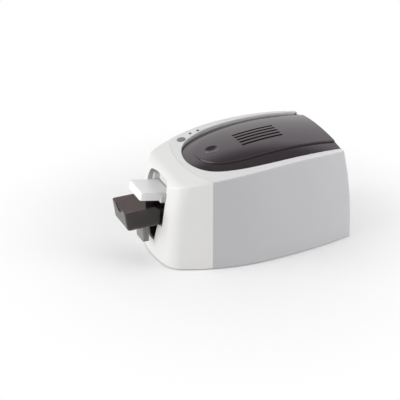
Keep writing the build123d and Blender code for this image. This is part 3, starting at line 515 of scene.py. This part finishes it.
FINISHES: dict[str, Finish] = {
    "bezel_white": Plastic("bezel_white", (0.785, 0.78, 0.772), 0.42, Grain.SATIN, wear=0.2),
    # Painted shade and light: flanks darkened for the shade on the sides, tops and inner walls painted
    # lighter for the light they catch.
    "casing_grey": Plastic(
        "casing_grey", (0.512, 0.510, 0.527), 0.5, Grain.SPARKED, painted_light_colour=(0.73, 0.73, 0.73)
    ),
    "smoked": Smoked("smoked", (0.0265, 0.0190, 0.0220), 0.03, ior=1.7, sheen=(1.0, 0.91, 0.99)),
    "tray_smoked": Smoked("tray_smoked", (0.17, 0.14, 0.135), 0.9, 0.05),
    "leg_grey": Plastic("leg_grey", (0.235, 0.225, 0.22), 0.5, Grain.SATIN),
    "button_grey": Plastic("button_grey", (0.17, 0.17, 0.18), 0.3, Grain.POLISHED),
    "lamp_lens": Plastic("lamp_lens", (0.006, 0.006, 0.007), 0.6, Grain.POLISHED),
    "card_white": Plastic("card_white", (0.88, 0.88, 0.88), 0.22, Grain.POLISHED, wear=0.1),
    "inner_white": Plastic("inner_white", (0.80, 0.80, 0.80), 0.5, Grain.SATIN),
    "light_grey": Plastic("light_grey", (0.55, 0.56, 0.58), 0.5, Grain.SATIN),
    "dark_plastic": Plastic("dark_plastic", (0.022, 0.022, 0.025), 0.42, Grain.SATIN),
    "steel_plate": Metal("steel_plate", (0.56, 0.56, 0.58), 0.32, 0.2, 300.0),
    "steel_pin": Metal("steel_pin", (0.66, 0.66, 0.67), 0.18, 0.1),
    # Painted shade: the pocket behind the lower slot, nearer black than its dark plastic, for the shade
    # inside the slot.
    "slot_shade_black": Plastic("slot_shade_black", (0.007, 0.006, 0.006), 0.8, Grain.SPARKED, wear=0.0),
    "rubber_black": Rubber("rubber_black", (0.02, 0.02, 0.02)),
    "roller_rubber": Rubber("roller_rubber", (0.10, 0.10, 0.11), 0.7),
    "cleaning_rubber": Rubber("cleaning_rubber", (0.70, 0.69, 0.66), 0.45),
    "gear_white": Plastic("gear_white", (0.78, 0.76, 0.70), 0.4, Grain.POLISHED),
    "brass": Metal("brass", (0.66, 0.48, 0.22), 0.28),
    "magnet": Metal("magnet", (0.35, 0.35, 0.37), 0.25),
    "board_green": Plastic("board_green", (0.016, 0.09, 0.045), 0.3, Grain.POLISHED, coat=0.5),
    "board_parts": Plastic("board_parts", (0.02, 0.02, 0.022), 0.5, Grain.SATIN),
    "ribbon": Plastic("ribbon", (0.020, 0.016, 0.026), 0.16, Grain.POLISHED, coat=0.4),
    "head_aluminium": Metal("head_aluminium", (0.70, 0.71, 0.73), 0.35),
}


# Nodes that look different from the rest of their slot.
OWN_FINISH = {"output_tray": "tray_smoked", "tray_carrier": "leg_grey"}


class Wardrobe:
    """Builds each finish once and dresses nodes and pieces in it."""

    def __init__(self, effects: Effects) -> None:
        """Reads which slot each node has.

        Args:
            effects: Shared node groups.
        """
        self.effects = effects
        self.made: dict[str, bpy.types.Material] = {}
        self.slot_of = {s["node"]: s["material_slot"] for s in frame["record"]["subparts"]}

    def material(self, slot: str) -> bpy.types.Material:
        """Finds a material, and builds it on first use.

        Args:
            slot: Name of a slot or of a finish.

        Returns:
            The material.
        """
        if slot not in self.made:
            self.made[slot] = FINISHES[slot].build(self.effects)
        return self.made[slot]

    def dress_node(self, node: str) -> None:
        """Gives a node of the frame its finish.

        Args:
            node: Name of the node.
        """
        piece = frame["nodes"][node]
        material = self.material(OWN_FINISH.get(node, self.slot_of[node]))
        if not piece.material_slots:
            piece.data.materials.append(material)
        for place in piece.material_slots:
            place.material = material

    def dress_piece(
        self, piece: bpy.types.Object, slot: str, body: str, finish: str | None = None
    ) -> None:
        """Gives a new piece its finish and its body.

        Args:
            piece: The new object.
            slot: Slot of the record.
            body: Body that it rides on.
            finish: Name of its finish where that isn't the slot's own.
        """
        piece.data.materials.clear()
        piece.data.materials.append(self.material(finish or slot))
        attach(piece, body)
        LOG.info("piece %s rides on %s", piece.name, body)


# ---------------------------------------------------------------- studio
def directly_seen(graph: Graph) -> bpy.types.NodeSocket:
    """Adds the Light Path test for what the camera sees, straight, mirrored or through glass.

    Args:
        graph: Graph of the floor or the world.

    Returns:
        Socket with 1 for those rays and 0 for the rest.
    """
    path = graph.add("ShaderNodeLightPath")
    mirrored = graph.maths("ADD", path.outputs["Is Glossy Ray"], path.outputs["Is Transmission Ray"])
    return graph.maths("MINIMUM", graph.maths("ADD", mirrored, path.outputs["Is Camera Ray"]), 1.0)


@dataclass(frozen=True)
class SoftBox:
    """One square area light. Mirrored says whether shiny faces show it."""

    name: str
    place: tuple[float, float, float]
    side: float
    power: float
    colour: Colour = (1.0, 1.0, 1.0)
    mirrored: bool = True

    def build(self, target: Vector) -> None:
        """Hangs the light.

        Args:
            target: Point that it faces.
        """
        data = bpy.data.lights.new(self.name, "AREA")
        data.shape = "SQUARE"
        data.size = self.side
        data.energy = self.power
        data.color = self.colour
        lamp = bpy.data.objects.new(self.name, data)
        lamp.location = self.place
        lamp.visible_glossy = self.mirrored
        lamp.rotation_mode = "QUATERNION"
        lamp.rotation_quaternion = (target - Vector(self.place)).to_track_quat("-Z", "Y")
        bpy.context.scene.collection.objects.link(lamp)


@dataclass
class Studio:
    """Camera, pale floor, soft lights and a white surround with a dim ceiling.

    The ceiling shows in shiny faces only, from ceiling_start to ceiling_end as the height of the
    unit direction. The floor is lifted to white between the radii lift_start and lift_end.
    """

    camera_place: tuple[float, float, float] = (1.9268, -0.9147, 1.2138)
    azimuth: float = 65.88
    elevation: float = 28.1
    lens: float = 122.7
    sensor: float = 36.0
    reach: float = 100.0
    aim: tuple[float, float, float] = (0.0, 0.0, 0.08)
    floor_side: float = 30.0
    floor_roughness: float = 0.9
    floor_albedo: float = 0.80
    floor_seen: float = 0.96
    floor_lift: float = 0.05
    lift_start: float = 0.21
    lift_end: float = 0.50
    surround: float = 0.44
    ceiling: float = 0.24
    ceiling_start: float = 0.60
    ceiling_end: float = 0.76
    boxes: tuple[SoftBox, ...] = (
        SoftBox("overhead", (-0.3, 0.2, 2.2), 4.0, 22.0, mirrored=False),
        SoftBox("nose_side", (-0.2, -2.25, 0.7), 2.0, 43.0),
        SoftBox("rear_side", (1.25, 1.8, 0.6), 1.2, 26.0),
    )

    def build(self) -> None:
        """Builds everything around the object."""
        self._camera()
        self._floor()
        self._surround()
        for box in self.boxes:
            box.build(Vector(self.aim))
        bpy.context.scene.view_settings.view_transform = "Standard"

    def _camera(self) -> None:
        """Sets the camera where the photograph was taken from."""
        data = bpy.data.cameras.new("camera")
        data.lens = self.lens
        data.sensor_width = self.sensor
        data.clip_end = self.reach
        camera = bpy.data.objects.new("camera", data)
        camera.location = self.camera_place
        a, e = math.radians(self.azimuth), math.radians(self.elevation)
        ahead = Vector((-math.sin(a) * math.cos(e), math.cos(a) * math.cos(e), -math.sin(e)))
        camera.rotation_mode = "QUATERNION"
        camera.rotation_quaternion = ahead.to_track_quat("-Z", "Y")
        bpy.context.scene.collection.objects.link(camera)
        bpy.context.scene.camera = camera

    def _floor(self) -> None:
        """Lays the floor, lifted towards white where it is seen directly."""
        half = self.floor_side / 2
        mesh = bpy.data.meshes.new("floor")
        corners = [(-half, -half, 0.0), (half, -half, 0.0), (half, half, 0.0), (-half, half, 0.0)]
        mesh.from_pydata(corners, [], [(0, 1, 2, 3)])
        floor = bpy.data.objects.new("floor", mesh)
        bpy.context.scene.collection.objects.link(floor)
        material, graph, surface = open_material("floor_paper")
        surface.inputs["Roughness"].default_value = self.floor_roughness
        surface.inputs["Specular IOR Level"].default_value = 0.0
        seen = directly_seen(graph)
        dull, fair = self.floor_albedo, self.floor_seen
        shade = graph.blend(seen, (dull, dull, dull, 1.0), (fair, fair, fair, 1.0))
        graph.feed(surface.inputs["Base Color"], shade)
        radius = graph.add("ShaderNodeVectorMath", {"operation": "LENGTH"})
        graph.feed(radius.inputs[0], graph.add("ShaderNodeTexCoord").outputs["Object"])
        lift = graph.ramp(radius.outputs["Value"], self.lift_start, self.lift_end, self.floor_lift)
        lifted = graph.maths("MULTIPLY", seen, lift)
        glow = graph.add("ShaderNodeEmission", Color=WHITE, Strength=1.0)
        mix = graph.add("ShaderNodeMixShader", Fac=lifted)
        graph.feed(mix.inputs[1], surface.outputs[0])
        graph.feed(mix.inputs[2], glow.outputs[0])
        graph.feed(material.node_tree.nodes["Material Output"].inputs["Surface"], mix.outputs[0])
        mesh.materials.append(material)

    def _surround(self) -> None:
        """Fills the world: white where it is seen, a dim ceiling in mirrors, soft grey light elsewhere."""
        world = bpy.data.worlds.new("surround")
        bpy.context.scene.world = world
        world.use_nodes = True
        graph = Graph(world.node_tree)
        background = world.node_tree.nodes["Background"]
        gain = graph.maths("MULTIPLY", directly_seen(graph), 1.0 - self.surround)
        mirrored = graph.add("ShaderNodeLightPath").outputs["Is Glossy Ray"]
        heading = graph.add("ShaderNodeTexCoord").outputs["Generated"]
        height = graph.add("ShaderNodeSeparateXYZ", Vector=heading).outputs["Z"]
        loss = graph.ramp(height, self.ceiling_start, self.ceiling_end, 0.0, 1.0 - self.ceiling)
        gain = graph.maths("SUBTRACT", gain, graph.maths("MULTIPLY", mirrored, loss))
        background.inputs["Color"].default_value = WHITE
        graph.feed(background.inputs["Strength"], graph.maths("ADD", gain, self.surround))


# ---------------------------------------------------------------- pieces of the mouth
Rows = Sequence[Sequence[Vector]]


def slab(name: str, front: Rows, back: Rows) -> bpy.types.Object:
    """Makes a closed piece from two facing grids of points, in millimetres.

    Args:
        name: Name of the piece.
        front: Rows of points of one face.
        back: Rows of points of the other face, as many as in front.

    Returns:
        The new object.
    """
    tall, wide = len(front), len(front[0])
    form = bmesh.new()
    sheets = [[[form.verts.new(point * MM) for point in row] for row in rows] for rows in (front, back)]
    for rows in sheets:
        for i in range(tall - 1):
            for j in range(wide - 1):
                form.faces.new((rows[i][j], rows[i][j + 1], rows[i + 1][j + 1], rows[i + 1][j]))
    edge = [(0, j) for j in range(wide)] + [(i, wide - 1) for i in range(1, tall)]
    edge += [(tall - 1, j) for j in range(wide - 2, -1, -1)] + [(i, 0) for i in range(tall - 2, 0, -1)]
    for (i, j), (k, m) in zip(edge, edge[1:] + edge[:1]):
        form.faces.new((sheets[0][i][j], sheets[0][k][m], sheets[1][k][m], sheets[1][i][j]))
    bmesh.ops.recalc_face_normals(form, faces=form.faces)
    mesh = bpy.data.meshes.new(name)
    form.to_mesh(mesh)
    form.free()
    mesh.polygons.foreach_set("use_smooth", [True] * len(mesh.polygons))
    mesh.set_sharp_from_angle(angle=SHARP_ANGLE)
    piece = bpy.data.objects.new(name, mesh)
    bpy.context.scene.collection.objects.link(piece)
    return piece


def face_depth(node: bpy.types.Object, x: float, z: float) -> float:
    """Finds where the front of a node is.

    A ray goes back from in front of the whole object.

    Args:
        node: Node of the frame.
        x: Place across, in millimetres.
        z: Height, in millimetres.

    Returns:
        Its y there, in millimetres.
    """
    back = node.matrix_world.inverted()
    start = back @ Vector((x * MM, AHEAD_OF_NOSE, z * MM))
    found, point, _, _ = node.ray_cast(start, back.to_3x3() @ Vector((0.0, 1.0, 0.0)))
    if not found:
        raise ValueError(f"{node.name} has no face at x {x}, z {z}")
    return (node.matrix_world @ point).y / MM


@dataclass(frozen=True)
class MouthCorners:
    """Two gussets that narrow the top of the mouth, flush with the bezel round it.

    Millimetres. Bulge is how far the face comes forward for each millimetre inwards, at the bottom.
    Tip is the width there, probe is how far outside the jamb the bezel is felt for, and sink is how
    far the face then lies behind it.
    """

    jamb: float = 43.3
    low: float = 122.0
    high: float = 150.2
    narrowing: float = 9.3
    easing: float = 1.7
    bulge: float = 0.12
    thickness: float = 2.4
    tip: float = 0.1
    probe: float = 0.2
    sink: float = 0.02
    rows: int = 24
    columns: int = 6

    def build(self, wardrobe: Wardrobe) -> None:
        """Makes both gussets.

        Args:
            wardrobe: Gives them their finish.
        """
        bezel = frame["nodes"]["front_bezel"]
        for side, label in SIDES:
            front = [self._row(bezel, side, i / self.rows) for i in range(self.rows + 1)]
            back = [[point + Vector((0.0, self.thickness, 0.0)) for point in row] for row in front]
            piece = slab(f"mouth_corner_{label}", front, back)
            wardrobe.dress_piece(piece, "bezel_white", "printer")

    def _row(self, bezel: bpy.types.Object, side: int, share: float) -> list[Vector]:
        """Places one level row of points on the face.

        Args:
            bezel: Node that the gusset is flush with.
            side: 1 for the side of +X.
            share: Height of the row, 0 at the bottom and 1 at the top.

        Returns:
            The points from the jamb inwards.
        """
        z = self.low + (self.high - self.low) * share
        width = self.tip + self.narrowing * share**self.easing
        depth = face_depth(bezel, side * (self.jamb + self.probe), z)
        row = []
        for j in range(self.columns + 1):
            inward = width * j / self.columns
            y = depth - self.bulge * inward * (1.0 - share) + self.sink
            row.append(Vector((side * (self.jamb - inward), y, z)))
        return row


@dataclass(frozen=True)
class MouthCheeks:
    """Curved walls that close the gaps between the jambs of the mouth and the feeder.

    Millimetres. Outer, middle and inner steer the plan curve, as x on the side of +X and y.
    """

    low: float = 109.0
    high: float = 147.5
    outer: tuple[float, float] = (42.9, -126.5)
    middle: tuple[float, float] = (39.4, -121.5)
    inner: tuple[float, float] = (37.3, -113.0)
    thickness: float = 0.9
    steps: int = 12

    def build(self, wardrobe: Wardrobe) -> None:
        """Makes both cheeks.

        Args:
            wardrobe: Gives them their finish.
        """
        for side, label in SIDES:
            front, back = (self._face(side, outset) for outset in (0.0, self.thickness))
            wardrobe.dress_piece(slab(f"mouth_cheek_{label}", front, back), "inner_white", "printer")

    def _face(self, side: int, outset: float) -> Rows:
        """Places the points of one face.

        Args:
            side: 1 for the side of +X.
            outset: How far it lies outside the plan curve.

        Returns:
            The bottom row and the top row.
        """
        path = [self._bend(i / self.steps) for i in range(self.steps + 1)]
        return [[Vector((side * (x + outset), y, z)) for x, y in path] for z in (self.low, self.high)]

    def _bend(self, share: float) -> tuple[float, float]:
        """Finds a point of the plan curve.

        Args:
            share: 0 at the jamb and 1 at the feeder.

        Returns:
            Its x, on the side of +X, and its y.
        """
        a, b, c = (1 - share) ** 2, 2 * share * (1 - share), share**2
        x, y = (a * p + b * q + c * r for p, q, r in zip(self.outer, self.middle, self.inner))
        return x, y


@dataclass(frozen=True)
class SlotShadePocket:
    """Dark plastic pocket behind the lower slot that the leg of the tray slides through, made near black
    to paint the shade inside the slot. Millimetres.
    """

    sill_half: float = 12.0
    sill: float = 34.0
    top_half: float = 24.0
    top: float = 71.5
    gap: float = 0.35
    wall: float = 0.3
    front: float = -141.8
    rear: float = -114.5
    end_wall: float = 1.0

    def build(self, wardrobe: Wardrobe) -> None:
        """Makes the trough and its end wall.

        Args:
            wardrobe: Gives them their finish.
        """
        inner, outer = self._outline(self.gap + self.wall), self._outline(self.gap)
        sheets = [
            [[Vector((x, y, z)) for x, z in line] for y in (self.front, self.rear)] for line in (inner, outer)
        ]
        corners = (inner[0], inner[3]), (inner[1], inner[2])
        near, far = (
            [[Vector((x, y, z)) for x, z in row] for row in corners]
            for y in (self.rear - self.end_wall, self.rear)
        )
        # Both pieces are made near black to paint the shade inside the slot.
        for piece in (slab("slot_trough", *sheets), slab("slot_end", near, far)):
            wardrobe.dress_piece(piece, "dark_plastic", "printer", "slot_shade_black")

    def _outline(self, inset: float) -> list[tuple[float, float]]:
        """Places the corners of the trough, open at the top.

        Args:
            inset: How far they lie inside the slot.

        Returns:
            The four corners as x and z.
        """
        foot, head = self.sill_half - inset, self.top_half - inset
        return [(-head, self.top), (-foot, self.sill + inset), (foot, self.sill + inset), (head, self.top)]


def main() -> None:
    """Builds the pieces in order."""
    logging.basicConfig(level=logging.INFO)
    effects = Effects()
    wardrobe = Wardrobe(effects)
    for node in frame["nodes"]:
        wardrobe.dress_node(node)
        LOG.info("node %s dressed", node)
    for part in (MouthCorners(), MouthCheeks(), SlotShadePocket()):
        part.build(wardrobe)
    Studio().build()


if __name__ == "__main__":
    main()
